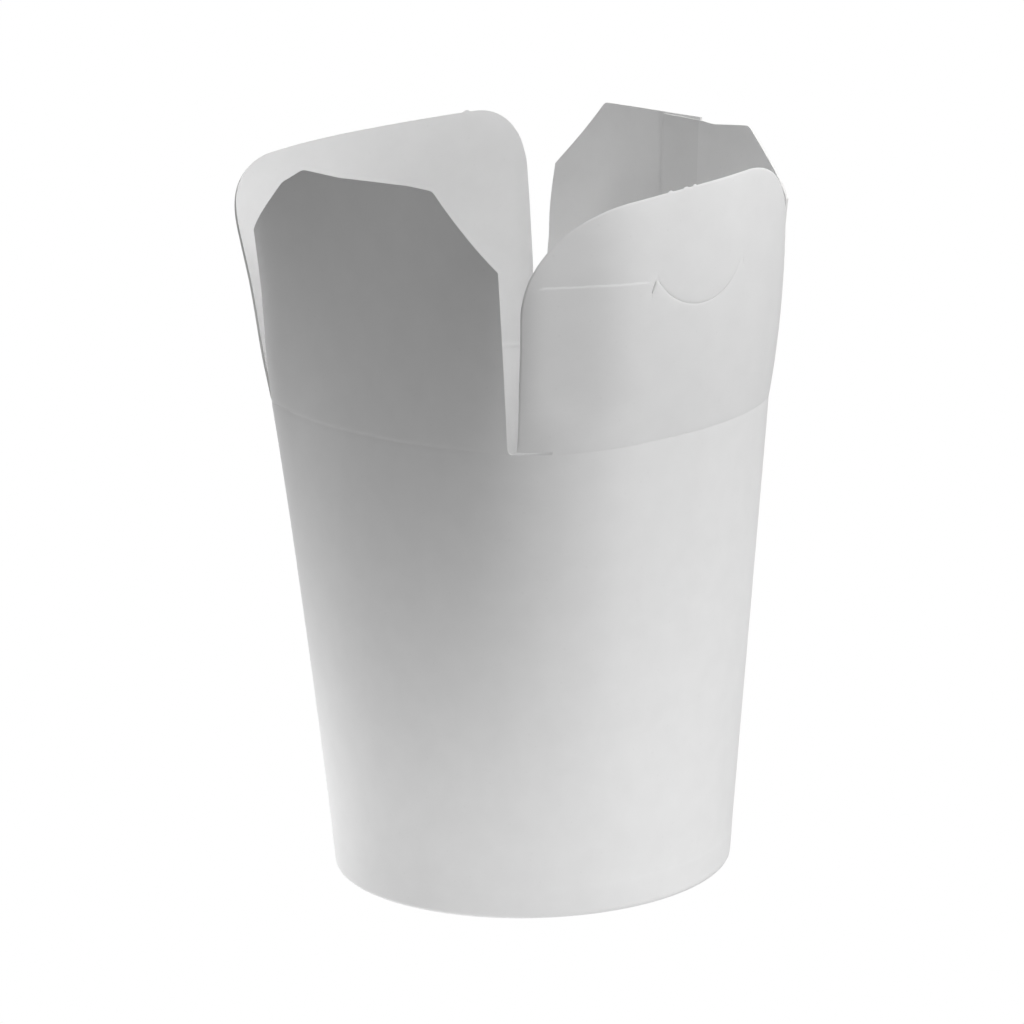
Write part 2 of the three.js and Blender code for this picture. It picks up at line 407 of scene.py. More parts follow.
def mouth_radius(sizes, angle, rise=0):
    """Distance of the mouth from the axis: four arcs that meet in soft corners. The corner
    under the left end of the front lid is fuller than the others, and softer too, but not
    at a rise above the crease, where the slit parts the flaps."""
    cup = sizes.cup
    turned = np.degrees(angle) % 360
    near = np.exp(-(((turned - FRONT_CORNER) / FRONT_CORNER_SPREAD) ** 2))
    near = near * (1 - smooth(rise, 0, FRONT_FADE))
    softness = cup.corner_softness + (cup.front_softness - cup.corner_softness) * near
    bulge = cup.front_bulge * np.exp(-(((turned - FRONT_BULGE) / FRONT_BULGE_SPREAD) ** 2))
    corner = (cup.slit_radius + softness * math.log(2)) * math.sqrt(0.5)
    sides = ((0, cup.tuck_reach), (90, cup.lid_reach), (180, cup.tuck_reach), (270, cup.lid_reach))
    total = 0
    for facing, reach in sides:
        swell = reach - corner
        radius = (corner * corner + swell * swell) / (2 * swell)
        inset = radius - reach
        turn = angle - math.radians(facing)
        distance = np.sqrt(radius**2 - (inset * np.sin(turn)) ** 2) - inset * np.cos(turn)
        total = total + np.exp(-distance / softness)
    return bulge - softness * np.log(total)


def left_bulge(sizes, angle):
    """How far the corner on the left stands out at the crease."""
    away = (np.degrees(angle) % 360 - LEFT_CORNER) / LEFT_CORNER_SPREAD
    return sizes.cup.left_bulge * np.exp(-(away**2))


def wall_radius(sizes, angle, height):
    """Radius of the wall's outer face: round at the foot, squarer towards the mouth, with the
    left corner's bulge just below it."""
    base = sizes.cup.base_radius
    share = height / sizes.cup.crease_height
    bulge = left_bulge(sizes, angle) * share**LEFT_CORNER_GROWTH
    return base + (mouth_radius(sizes, angle) - base) * share + bulge


def by_angle(table, angle):
    """Value of a table at an angle round the mouth."""
    degrees, values = zip(*table)
    return np.interp((np.degrees(angle) + 180) % 360 - 180, degrees, values)


def crease_relief(sizes, angle, rise):
    """Depth of the pressed line, at an angle round the mouth and a rise above the folds."""
    away = (rise + by_angle(CREASE_DROP, angle)) / sizes.board.crease_width
    return sizes.board.crease_depth * by_angle(CREASE_STRENGTH, angle) * np.exp(-away**2)


def ripple(sizes, points):
    """Slow waves in the board, as a depth at each point."""
    wave = [sum(share * noise.noise(Vector(p) / size) for size, share in RIPPLES) for p in points]
    return sizes.board.ripple * np.array(wave)


def seam_depths(sizes, angle):
    """How far the lap pushes the outer and the inner face in, by the angle from +X."""
    start, end = (math.radians(value) for value in SEAM_ANGLES)
    eased = smooth(angle, start - math.radians(SEAM_EASE_ANGLE), start)
    full = sizes.board.thickness + GLUE_GAP
    outer = np.where(angle < start, full * eased, 0)
    inner = np.where(angle < end, full * eased, 0)
    return outer, inner


def flap_point(sizes, flap, side, rise):
    """Point of a flap's nominal outer face, side millimetres left of its middle as seen from
    inside, and rise up the board from its crease. It is measured from the cup's axis."""
    facing = math.radians(flap.facing)
    across = side / sizes.half_width
    turn = across * sizes.flap_span
    flared = flap.flare * np.exp(-(((1 + across) / FLARE_SPREAD) ** 2)) * smooth(rise, 0, FLARE_RISE)
    bulge = left_bulge(sizes, facing + turn) * (1 - smooth(rise, *LEFT_CORNER_FADE))
    radius = mouth_radius(sizes, facing + turn, rise) + flared + bulge
    lean = flap.middle_lean + (flap.edge_lean - flap.middle_lean) * across**2 + flap.skew * across
    fan = flap.fan * across
    out = radius * np.cos(turn) + rise * lean + flap.curl * rise**2
    aside = radius * np.sin(turn) + rise * fan
    up = sizes.cup.crease_height + rise * np.sqrt(1 - lean**2 - fan**2)
    x = out * math.cos(facing) - aside * math.sin(facing)
    y = out * math.sin(facing) + aside * math.cos(facing)
    return np.stack([x, y, up], -1)


def flap_inward(sizes, flap, side, rise):
    """Unit vectors from a flap's outer face towards its inner face."""
    step = 0.05
    sideways = flap_point(sizes, flap, side + step, rise) - flap_point(sizes, flap, side - step, rise)
    upward = flap_point(sizes, flap, side, rise + step) - flap_point(sizes, flap, side, rise - step)
    inward = np.cross(upward, sideways)
    return inward / np.linalg.norm(inward, axis=1, keepdims=True)


def divided(points, step, closed=False):
    """A line's points with more between them, so that none lie further apart than step."""
    points = [np.array(point, float) for point in points]
    ends = points + points[:1] if closed else points
    line = []
    for start, end in zip(ends, ends[1:]):
        count = max(1, math.ceil(np.linalg.norm(end - start) / step))
        line += [start + (end - start) * i / count for i in range(count)]
    return line if closed else line + [ends[-1]]


def arc(centre, radius, start, end, count):
    """Points of an arc; the angles are in degrees from straight right, anticlockwise."""
    turns = np.radians(np.linspace(start, end, count))
    return [(centre[0] + radius * math.cos(t), centre[1] + radius * math.sin(t)) for t in turns]


def slot(line, width):
    """Closed loop round a line: a cut of that width, pointed at both ends."""
    line = divided(line, LINE_STEP)
    sides = []
    for i, point in enumerate(line[1:-1], 1):
        along = line[i + 1] - line[i - 1]
        along = along / np.linalg.norm(along)
        sides.append((point, np.array([-along[1], along[0]]) * width / 2))
    left = [point + aside for point, aside in sides]
    right = [point - aside for point, aside in sides]
    return [line[0], *right, line[-1], *reversed(left)]


def beside(line, distance):
    """A line moved to its left by a distance."""
    line = divided(line, LINE_STEP)
    moved = []
    for i, point in enumerate(line):
        along = line[min(i + 1, len(line) - 1)] - line[max(i - 1, 0)]
        along = along / np.linalg.norm(along)
        moved.append(point + np.array([-along[1], along[0]]) * distance)
    return moved


def distance_to(line, places):
    """Distance of each place to the nearest point of a line, and its side: 1 is left."""
    line = np.array(divided(line, FINE_STEP))
    offset = places[:, None, :] - line[None, :, :]
    gap = np.linalg.norm(offset, axis=2)
    nearest = gap.argmin(1)
    ends = np.clip(nearest, 1, len(line) - 2)
    along = line[ends + 1] - line[ends - 1]
    away = offset[np.arange(len(places)), nearest]
    side = np.sign(along[:, 0] * away[:, 1] - along[:, 1] * away[:, 0])
    return gap.min(1), side


def inside(places, loop):
    """Which places lie inside a closed loop."""
    found = np.zeros(len(places), bool)
    for (x1, y1), (x2, y2) in zip(loop, loop[1:] + loop[:1]):
        if y1 != y2:
            crossing = x1 + (places[:, 1] - y1) * (x2 - x1) / (y2 - y1)
            found ^= ((y1 > places[:, 1]) != (y2 > places[:, 1])) & (places[:, 0] < crossing)
    return found


def tiled(outline, holes, lines):
    """Divides a flat shape with holes into triangles that follow the given lines. Returns the
    places of the corners and the triangles, turned anticlockwise."""
    loops = [divided(outline, LINE_STEP * 2, closed=True)]
    loops += [divided(hole, LINE_STEP, closed=True) for hole in holes]
    places, edges = [], []
    for number, line in enumerate([*loops, *lines]):
        first = len(places)
        places.extend(line)
        edges.extend((i, i + 1) for i in range(first, len(places) - 1))
        if number < len(loops):
            edges.append((len(places) - 1, first))
    fixed = np.array(places)
    low, high = fixed.min(0), fixed.max(0)
    columns = np.arange(low[0], high[0], GRID)
    rows = np.arange(low[1], high[1], GRID)
    lattice = np.array([(x + (j % 2) * GRID / 2, y) for j, y in enumerate(rows) for x in columns])
    lattice = lattice[inside(lattice, [tuple(p) for p in loops[0]])]
    gap = np.linalg.norm(lattice[:, None, :] - fixed[None, :, :], axis=2).min(1)
    places += list(lattice[gap > GRID_CLEARANCE * GRID])
    flat = [Vector(place) for place in places]
    corners, _, faces, *_ = delaunay_2d_cdt(flat, edges, [], 0, SAME_PLACE)
    corners = np.array([tuple(p) for p in corners])
    faces = np.array([tuple(face) for face in faces])
    middles = corners[faces].mean(1)
    kept = inside(middles, [tuple(p) for p in loops[0]])
    for hole in loops[1:]:
        kept &= ~inside(middles, [tuple(p) for p in hole])
    faces = faces[kept]
    a, b, c = (corners[faces[:, i]] for i in range(3))
    turn = (b[:, 0] - a[:, 0]) * (c[:, 1] - a[:, 1]) - (b[:, 1] - a[:, 1]) * (c[:, 0] - a[:, 0])
    faces[turn < 0] = faces[turn < 0][:, ::-1]
    return corners, faces


class Mesh:
    """Collects points, faces, and for each face its material and its corners' places on the
    board, all in millimetres, and makes one object of them."""

    def __init__(self):
        self.points, self.faces, self.kinds, self.maps = [], [], [], []

    def add(self, points, faces, kinds, maps):
        """Adds points, and faces that count from the first of them."""
        first = len(self.points)
        self.points.extend(points)
        self.faces.extend(tuple(first + i for i in face) for face in faces)
        self.kinds.extend(kinds)
        self.maps.extend(maps)

    def object(self, name, materials):
        """Makes the object on the cup's axis, with the places on the board as its UV map."""
        axis = cup_axis()
        mesh = bpy.data.meshes.new(name)
        mesh.from_pydata([Vector(p) * MM + axis for p in self.points], [], self.faces)
        mesh.polygons.foreach_set("material_index", self.kinds)
        mesh.polygons.foreach_set("use_smooth", [True] * len(self.faces))
        layer = mesh.uv_layers.new(name="board")
        flat = np.array([place for corners in self.maps for place in corners]) * MM
        layer.uv.foreach_set("vector", flat.astype(np.float32).ravel())
        mesh.validate()
        mesh.set_sharp_from_angle(angle=SHARP_ANGLE)
        for material in materials:
            mesh.materials.append(material)
        piece = bpy.data.objects.new(name, mesh)
        bpy.context.scene.collection.objects.link(piece)
        return piece


# The last kind is the glued band's darker material: painted shade for less light coming through two
# sheets
OUTER, INNER, EDGE, DOUBLED_SHADE = range(4)


def add_board(mesh, corners, triangles, outer, inner, doubled=None):
    """Adds a closed sheet of board: its outer face, its inner face and the cut edge. Its
    inner face between the two sides given as doubled, where two sheets are glued, gets a
    darker material that is painted shade, for less light coming through two sheets."""
    count = len(corners)
    own = [tuple(place) for place in corners]
    front = [tuple(face) for face in triangles]
    back = [(a + count, c + count, b + count) for a, b, c in front]
    directed = {(face[i], face[(i + 1) % 3]) for face in front for i in range(3)}
    rim = [(a, b) for a, b in sorted(directed) if (b, a) not in directed]
    sides = [(b, a, a + count, b + count) for a, b in rim]
    maps = [[own[i] for i in face] for face in front]
    maps += [[own[i - count] for i in face] for face in back]
    for a, b in rim:
        start, end = np.array(own[a]), np.array(own[b])
        thick = np.linalg.norm(outer[a] - inner[a])
        along = start.sum(), start.sum() + np.linalg.norm(end - start)
        maps.append([(along[1], 0), (along[0], 0), (along[0], thick), (along[1], thick)])
    low, high = doubled or (0, 0)
    middles = corners[triangles][:, :, 0].mean(1)
    # Faces of the glued band take the darker material: painted shade for the light that two sheets
    # hold back
    lined = [DOUBLED_SHADE if low < middle < high else INNER for middle in middles]
    kinds = [OUTER] * len(front) + lined + [EDGE] * len(sides)
    mesh.add([*outer, *inner], front + back + sides, kinds, maps)


def softened(points, reach):
    """Rounds the corners of an open line, from a reach before each corner to one after."""
    points = [np.array(point, float) for point in points]
    line = [points[0]]
    for before, corner, after in zip(points, points[1:], points[2:]):
        start = corner + (before - corner) * min(0.5, reach / np.linalg.norm(before - corner))
        end = corner + (after - corner) * min(0.5, reach / np.linalg.norm(after - corner))
        for share in np.linspace(0, 1, 5):
            bend = start + (corner - start) * share
            line.append(bend + (corner + (end - corner) * share - bend) * share)
    return [tuple(point) for point in [*line, points[-1]]]


def add_flap_sheet(
    mesh, sizes, flap, outline, holes=(), lines=(), relief=None, lap=None, slant=0.0, doubled=None
):
    """Adds one sheet of a flap. Relief gives the depth of its outer face's details, and lap
    how far the whole sheet is pushed in where it lies behind another. Slant is how far the
    inner face stops short of the outer at its edge, and doubled is where two sheets are
    glued; there the inner face gets a darker colour, painted shade for less light through two sheets."""
    low, high = min(p[0] for p in outline), max(p[0] for p in outline)
    foot = [divided([(low, rise), (high, rise)], LINE_STEP * 2) for rise in FOOT_ROWS]
    corners, triangles = tiled(outline, holes, [*foot, *lines])
    side, rise = corners[:, 0], corners[:, 1]
    nominal = flap_point(sizes, flap, side, rise)
    inward = flap_inward(sizes, flap, side, rise)
    angle = math.radians(flap.facing) + side / sizes.half_width * sizes.flap_span
    common = FACE_INSET + ripple(sizes, nominal) + crease_relief(sizes, angle, rise)
    shrunk = 1 - slant / sizes.half_width
    behind = flap_point(sizes, flap, side * shrunk, rise * shrunk) if slant else nominal
    if lap:
        common = common + lap(side, rise)
    outer_depth = common + (relief(corners) if relief else 0)
    inner_depth = common + sizes.board.thickness
    outer = nominal + inward * outer_depth[:, None]
    inner = behind + inward * inner_depth[:, None]
    add_board(mesh, corners, triangles, outer, inner, doubled)


def free_side(sizes, top):
    """The nominal free side of a flap, from its foot to its top, on the positive side."""
    upper = np.arange(2 * SIDE_STEP, top - 1, SIDE_STEP)
    return [(sizes.half_width, rise) for rise in (0, *FOOT_ROWS, *upper, top)]


def far_side(sizes, top):
    """The same on the negative side, from its top down to its foot."""
    return [(-side, rise) for side, rise in reversed(free_side(sizes, top))]


def strayed(sizes, flap, outline):
    """An outline whose free sides stray as they do on the flap. The foot of a slit is
    rounded where its side lies back from the nominal place."""
    half, moved = sizes.half_width, []
    for side, rise in outline:
        heights, amounts = zip(*(flap.left_stray if side > 0 else flap.right_stray))
        filled = 1 - math.sqrt(1 - max(0, 1 - rise / SLIT_ROUNDING) ** 2)
        out = np.interp(rise, heights, amounts) * (1 - filled) * smooth(abs(side), half / 2, half)
        moved.append((side + math.copysign(1, side) * float(out), rise))
    return moved


def finish_flap(mesh, flap):
    """Makes a flap's object where it stands above the cup's crease, and hides the part it replaces.
    """
    piece = mesh.object(flap.piece, board_materials())
    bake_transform(piece)
    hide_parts(flap.node)


def build_left_tuck(sizes):
    """The left tuck flap: its top edge sags a little, and its far corner is cut in two steps."""
    flap, half = TUCK_LEFT, sizes.half_width
    height, shoulder = sizes.flaps.left_tuck_height, sizes.flaps.left_tuck_shoulder
    top = flap.top_share * half
    crown = softened(
        [(half, shoulder), (top, height), (top - 7, height + 0.2), (-8.7, height - 0.5),
         (1.2 - top, height), (-5 - top, height - 3.3), (-half, shoulder - 0.3)],
        CORNER_ROUNDING,
    )
    outline = free_side(sizes, shoulder) + crown[1:-1] + far_side(sizes, shoulder - 0.3)
    mesh = Mesh()
    add_flap_sheet(mesh, sizes, flap, strayed(sizes, flap, outline), slant=EDGE_SLANT)
    finish_flap(mesh, flap)


def build_right_tuck(sizes):
    """The right tuck flap carries the seam: an outer sheet over an inner one, whose top edge
    stays just below the outer's and drops past it."""
    flap, half = TUCK_RIGHT, sizes.half_width
    height, shoulder = sizes.flaps.right_tuck_height, sizes.flaps.right_tuck_shoulder
    top = flap.top_share * half
    start, end = (math.radians(a) / sizes.flap_span * half for a in SEAM_ANGLES)
    mesh = Mesh()
    crown = softened(
        [(half, shoulder), (top, height + 0.3), (start, height - 0.09)], CORNER_ROUNDING
    )
    outline = free_side(sizes, shoulder) + crown[1:]
    outline += [(start, rise) for rise in (0, *FOOT_ROWS)][::-1]
    add_flap_sheet(mesh, sizes, flap, strayed(sizes, flap, outline))
    crown = softened(
        [(end, height - 0.3), (start - 1, height - 0.75), (start - 4.5, height - 1.2),
         (-top, height - 0.4), (-half, shoulder)],
        CORNER_ROUNDING,
    )
    outline = [(end, rise) for rise in (0, *FOOT_ROWS)] + crown[:-1] + far_side(sizes, shoulder)
    full = sizes.board.thickness + GLUE_GAP
    ease = math.radians(SEAM_EASE_ANGLE) / sizes.flap_span * half
    add_flap_sheet(
        mesh, sizes, flap, outline, lines=[[(start, 0.1), (start, height - 0.6)]],
        # The glued band's inner face gets painted shade: darker, for less light coming through two
        # sheets
        doubled=(start, end),
        lap=lambda side, rise: full * smooth(side, start - ease, start),
    )
    finish_flap(mesh, flap)


def lid_outline(sizes, flap, height, rounding, ties):
    """Outline of a lid flap: rounded top corners, and a top edge that bows and slopes."""
    half = sizes.half_width
    level = half - rounding

    def sloped(side, rise):
        return side, rise * (1 + flap.slope * side / height)

    def crown(side):
        bow = flap.bow * (1 - (side / level) ** 2)
        bumps = sum(size * math.exp(-((side - at) / (width / 2)) ** 6) for at, width, size in ties)
        return height + bow + bumps

    left = arc((level, height - rounding), rounding, 0, 90, ROUNDING_POINTS)
    right = arc((-level, height - rounding), rounding, 90, 180, ROUNDING_POINTS)
    top = [(side, crown(side)) for side in np.linspace(level, -level, CROWN_POINTS)[1:-1]]
    rounded = [sloped(*point) for point in (*left, *top, *right)]
    upward = free_side(sizes, rounded[0][1] - SIDE_GAP)
    return upward + rounded + far_side(sizes, rounded[-1][1] - SIDE_GAP)


def groove(places, line, depth, width):
    """Depth of a shallow line pressed into the board."""
    away, _ = distance_to(line, places)
    return depth * np.exp(-((away / width) ** 2))


def score(places, line, depth, width):
    """Depth of the board at a scored line: it steps in to the line's left, and comes back
    out slowly."""
    away, side = distance_to(line, places)
    return depth * smooth(away * side, -width, width) * np.exp(-away / SCORE_RECOVERY)


def rolled(places, edge, drop, reach):
    """Depth of a face that rolls over towards a free edge, less so at the top."""
    away, _ = distance_to(edge, places)
    share = np.clip(1 - away / reach, 0, 1)
    return drop * share**2 * (1 - ROLL_LOSS * smooth(places[:, 1], *ROLL_LOSS_RISES))


def guarded(line, width):
    """A line and its neighbours on both sides, for the mesh to follow."""
    return [beside(line, width * share) for share in (-2.2, -1.1, -0.5, 0, 0.5, 1.1, 2.2)]


def build_front_lid(sizes):
    """The front lid flap: a tongue and two cuts lock it, a score runs beside them, and its
    crease is cut open at the slit."""
    flaps, board = sizes.flaps, sizes.board
    start, end = (270 + turn for turn in TONGUE_SWEEP)
    tongue = arc(TONGUE_CENTRE, TONGUE_RADIUS, start, end, 40)
    # Each cut's line, how many times the usual width it is, and how strongly it is pressed
    cuts = ((tongue, 1, 0.8), (LEFT_CUT, 12, 1.8), (RIGHT_CUT, 1, 1))
    holes = [slot(line, board.cut_width * wide) for line, wide, _ in cuts]
    outline = lid_outline(
        sizes, LID_FRONT, flaps.front_lid_height, flaps.front_lid_rounding, FRONT_TIES
    )
    outline = [p for p in outline if p[0] > CREASE_CUT_END or p[1] > CREASE_CUT_WIDTH]
    outline += [(-sizes.half_width, CREASE_CUT_WIDTH), (CREASE_CUT_END, CREASE_CUT_WIDTH)]
    outline = strayed(sizes, LID_FRONT, [*outline, (CREASE_CUT_END, 0)])
    edge = [point for point in outline if point[1] > ROLL_FOOT]
    lines = guarded(FRONT_SCORE, board.score_width)
    lines += [beside(line, away) for line, *_ in cuts for away in (-0.5, -0.25, 0.25, 0.5)]
    lines += [beside(edge, board.edge_rounding * share) for share in (0.15, 0.4, 0.7, 1)]

    def relief(places):
        depth = score(places, FRONT_SCORE, board.score_depth, board.score_width)
        for line, _, strong in cuts:
            depth = depth + groove(places, line, board.cut_depth * strong, CUT_GROOVE)
        return depth + rolled(places, edge, board.edge_drop, board.edge_rounding)

    mesh = Mesh()
    add_flap_sheet(mesh, sizes, LID_FRONT, outline, holes, lines, relief, slant=EDGE_SLANT)
    finish_flap(mesh, LID_FRONT)


def build_back_lid(sizes):
    """The back lid flap, which is plain."""
    flaps = sizes.flaps
    outline = lid_outline(
        sizes, LID_BACK, flaps.back_lid_height, flaps.back_lid_rounding, BACK_TIES
    )
    outline = strayed(sizes, LID_BACK, outline)
    mesh = Mesh()
    add_flap_sheet(mesh, sizes, LID_BACK, outline, slant=-BACK_SLANT)
    finish_flap(mesh, LID_BACK)


def wall_section(sizes):
    """Points of the wall's closed section, as (depth, height, face), from the crease down
    outside, round the fold and the hem, and up inside."""
    thick = sizes.board.thickness
    top = sizes.cup.crease_height
    hem = 2 * (thick + CLEARANCE)
    near_top = [top - rise for rise in (0, *FOOT_ROWS)]
    body = list(np.linspace(near_top[-1], HEM_HEIGHT + HEM_FADE, BODY_ROWS))[1:]
    line = [HEM_HEIGHT + HEM_FADE * share for share in (0.75, 0.5, 0.25, 0)]
    outside = [(0, height, OUTER) for height in (*near_top, *body, *line, *HEM_OUTER_ROWS)]
    deep = hem + thick
    fold = arc((FOLD_RADIUS, FOLD_RADIUS), FOLD_RADIUS, 180, 270, 6)
    fold += arc((deep - FOLD_RADIUS, FOLD_RADIUS), FOLD_RADIUS, 270, 360, 6)
    fold = [(depth, height, OUTER) for depth, height in fold]
    hem_face = [(deep, height, OUTER) for height in HEM_ROWS]
    hem_back = [(hem, height, INNER) for height in (*reversed(HEM_ROWS), thick)]
    upward = (thick, *HEM_ROWS, *reversed(line[:-1]), *reversed(body), *reversed(near_top))
    inside_wall = [(thick, height, INNER) for height in upward]
    return outside + fold + hem_face + hem_back + inside_wall


def wall_angles(sizes):
    """Angles of the wall's columns: even ones, closer ones at the mouth's corners, and a
    pair at each edge of the seam's lap. They run once round from the seam's outer edge."""
    start, end = (math.radians(value) for value in SEAM_ANGLES)
    hair = LAP_STEP / sizes.cup.slit_radius
    even = [start + i * math.tau / WALL_COLUMNS for i in range(1, WALL_COLUMNS)]
    corners = []
    for slit in SLIT_ANGLES:
        turned = (math.radians(slit) - start) % math.tau + start
        around = range(-CORNER_COLUMNS, CORNER_COLUMNS + 1)
        corners += [turned + math.radians(step * CORNER_STEP) for step in around]
    steps = [start, start + math.tau - hair, end - hair, end]
    room = math.radians(COLUMN_ROOM)
    spaced = [a for a in even if min(abs(a - s) for s in [*steps, *corners]) > room]
    return np.array(sorted([*steps, *corners, *spaced]))


def wall_points(sizes, section, angles):
    """Points of the wall: at each angle, all the points of its section."""
    board, cup = sizes.board, sizes.cup
    depth, height, kind = (np.array(column) for column in zip(*section))
    angle, level = np.meshgrid(angles, height, indexing="ij")
    lip = np.clip(1 - (cup.crease_height - level) / LIP_REACH, 0, 1) * (kind == INNER)
    level = level - lip * by_angle(LIP_DROP, angle)
    radius = wall_radius(sizes, angle, level)
    nominal = np.stack([radius * np.cos(angle), radius * np.sin(angle), level], -1)
    above = smooth(level, HEM_HEIGHT, HEM_HEIGHT + HEM_FADE)
    waves = ripple(sizes, nominal.reshape(-1, 3)).reshape(angle.shape)
    relief = FACE_INSET * above + waves * smooth(level, *RIPPLE_FOOT)
    relief = relief + crease_relief(sizes, angle, level - cup.crease_height)
    outer_lap, inner_lap = seam_depths(sizes, np.where(angle > math.pi, angle - math.tau, angle))
    lap = np.where(kind == OUTER, outer_lap, inner_lap) * smooth(level, HEM_HEIGHT, SEAM_FOOT)
    face = (kind == INNER) & (depth <= board.thickness + SAME_HEIGHT) | (depth < SAME_HEIGHT)
    sunk = radius - depth - np.where(face[None, :], relief + lap, 0)
    return np.stack([sunk * np.cos(angle), sunk * np.sin(angle), level], -1).reshape(-1, 3)


def wall_faces(sizes, section, angles):
    """Faces between those points, each one's kind, and its corners' places on the board."""
    depth, height, kind = (np.array(column) for column in zip(*section))
    along = np.concatenate([[0], np.cumsum(np.hypot(np.diff(depth), np.diff(height)))])
    round_mouth = np.array([*angles, angles[0] + math.tau]) * sizes.cup.slit_radius
    columns, rows = len(angles), len(section)
    index = np.arange(columns * rows).reshape(columns, rows)
    faces, kinds, maps = [], [], []
    for i in range(columns):
        j = (i + 1) % columns
        left, right = round_mouth[i], round_mouth[i + 1]
        for k in range(rows):
            m = (k + 1) % rows
            start, end = along[k], along[m] if m else along[-1] + sizes.board.thickness
            faces.append((index[i, k], index[i, m], index[j, m], index[j, k]))
            hem_edge = kind[k] != kind[m] and abs(height[k] - height[m]) < SAME_HEIGHT
            kinds.append(EDGE if m == 0 or hem_edge else int(kind[k]))
            maps.append([(left, start), (left, end), (right, end), (right, start)])
    return faces, kinds, maps


def build_wall(sizes):
    """The cup's wall, all round from one edge of the seam's lap to the other."""
    section, angles = wall_section(sizes), wall_angles(sizes)
    mesh = Mesh()
    mesh.add(wall_points(sizes, section, angles), *wall_faces(sizes, section, angles))
    piece = mesh.object("cup_wall", board_materials())
    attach(piece, "cup")
    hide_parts("side_wall")


def base_section(sizes):
    """Section of the base, as (radius, height), from the middle of its underside round to the
    middle on top: a disc with a ring pressed near its rim, and a skirt down inside the hem."""
    thick = sizes.board.thickness
    outside = sizes.cup.base_radius - thick - CLEARANCE
    within = outside - thick
    low, top = sizes.cup.base_height, sizes.cup.base_height + thick
    ring = outside - RING_PLACE
    pressed = [(ring - 1, low), (ring, low - RING_DEPTH), (ring + 1, low)]
    under = [(0, low), (12, low), (26, low), *pressed]
    corner = [(within - 0.4, low), (within - 0.1, low - 0.12), (within, low - 0.45)]
    skirt = [(within, 4), (within, SKIRT_FOOT), (outside, SKIRT_FOOT), (outside, 4), (outside, 6)]
    shoulder = arc((outside - RIM_ROUNDING, top - RIM_ROUNDING), RIM_ROUNDING, 0, 90, 6)
    over = [(radius, height + thick) for radius, height in reversed(under)]
    return under + corner + skirt + shoulder + over


def build_base(sizes):
    """The recessed base: its section turned round the axis."""
    under, *ring, over = base_section(sizes)
    rows = len(ring)
    points, faces, kinds = [], [], []
    for i in range(BASE_COLUMNS):
        angle = math.tau * i / BASE_COLUMNS
        for radius, height in ring:
            out = radius * (wall_radius(sizes, angle, height) / sizes.cup.base_radius)
            points.append((out * math.cos(angle), out * math.sin(angle), height))
    low_middle, top_middle = len(points), len(points) + 1
    points += [(0, 0, under[1]), (0, 0, over[1])]
    topside = sizes.cup.base_height + 0.4 * sizes.board.thickness
    for i in range(BASE_COLUMNS):
        first, second = i * rows, (i + 1) % BASE_COLUMNS * rows
        for k in range(rows - 1):
            faces.append((first + k + 1, second + k + 1, second + k, first + k))
            foot = ring[k][1] == SKIRT_FOOT and ring[k + 1][1] == SKIRT_FOOT
            kinds.append(EDGE if foot else INNER if ring[k][1] >= topside else OUTER)
        faces.append((second, low_middle, first))
        faces.append((first + rows - 1, top_middle, second + rows - 1))
        kinds += [OUTER, INNER]
    flat = [(x, y + z) for x, y, z in points]
    mesh = Mesh()
    mesh.add(points, faces, kinds, [[flat[corner] for corner in face] for face in faces])
    piece = mesh.object("base_board", board_materials())
    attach(piece, "cup")
    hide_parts("base_disc")


def new_group(name, inputs, outputs):
    """An empty shader node group with named sockets, and its two ends."""
    group = bpy.data.node_groups.new(name, "ShaderNodeTree")
    for label, kind, default in inputs:
        socket = group.interface.new_socket(label, in_out="INPUT", socket_type=kind)
        if default is not None:
            socket.default_value = default
    for label, kind in outputs:
        group.interface.new_socket(label, in_out="OUTPUT", socket_type=kind)
    return group, group.nodes.new("NodeGroupInput"), group.nodes.new("NodeGroupOutput")


def add_node(tree, kind, values=None, **settings):
    """Adds a node, with settings as attributes and values for its input sockets."""
    node = tree.nodes.new(kind)
    for key, value in settings.items():
        setattr(node, key, value)
    for key, value in (values or {}).items():
        node.inputs[key].default_value = value
    return node


